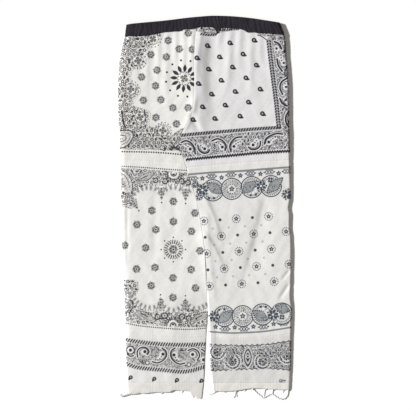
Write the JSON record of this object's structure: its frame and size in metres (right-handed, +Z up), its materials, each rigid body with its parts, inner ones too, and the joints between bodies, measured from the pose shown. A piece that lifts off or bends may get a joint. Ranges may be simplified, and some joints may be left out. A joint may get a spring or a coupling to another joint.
{
  "type": "pair of wide pull-on pants",
  "caption": "Wide pull-on pants sewn from printed cotton squares, with a gathered elastic waist and frayed hems, laid flat with the seat side up.",
  "frame": {"origin": "on the surface that the garment lies on, under the middle of its bounding box", "axes": "+X to the viewer's right over the seat side, +Y from the hems to the waistband, +Z up from the surface"},
  "size_m": [0.4853, 1.0727, 0.0098],
  "materials": {
    "upper_left_print": "matt woven cotton",
    "upper_right_print": "matt woven cotton",
    "middle_left_print": "matt woven cotton",
    "middle_right_print": "matt woven cotton",
    "lower_left_print": "matt woven cotton",
    "lower_right_print": "matt woven cotton",
    "raw_cotton": "matt woven cotton",
    "waistband_black": "matt woven cotton"
  },
  "bodies": {
    "root": {"back_upper_left": "upper_left_print", "back_upper_right": "upper_right_print", "back_middle_left": "middle_left_print", "back_middle_right": "middle_right_print", "back_lower_left": "lower_left_print", "back_lower_right": "lower_right_print", "front_upper_left": "upper_left_print", "front_upper_right": "upper_right_print", "front_middle_left": "middle_left_print", "front_middle_right": "middle_right_print", "front_lower_left": "lower_left_print", "front_lower_right": "lower_right_print", "back_hem_left": "raw_cotton", "back_hem_right": "raw_cotton", "front_hem_left": "raw_cotton", "front_hem_right": "raw_cotton", "waistband_back": "waistband_black", "waistband_front": "waistband_black"}
  },
  "joints": []
}
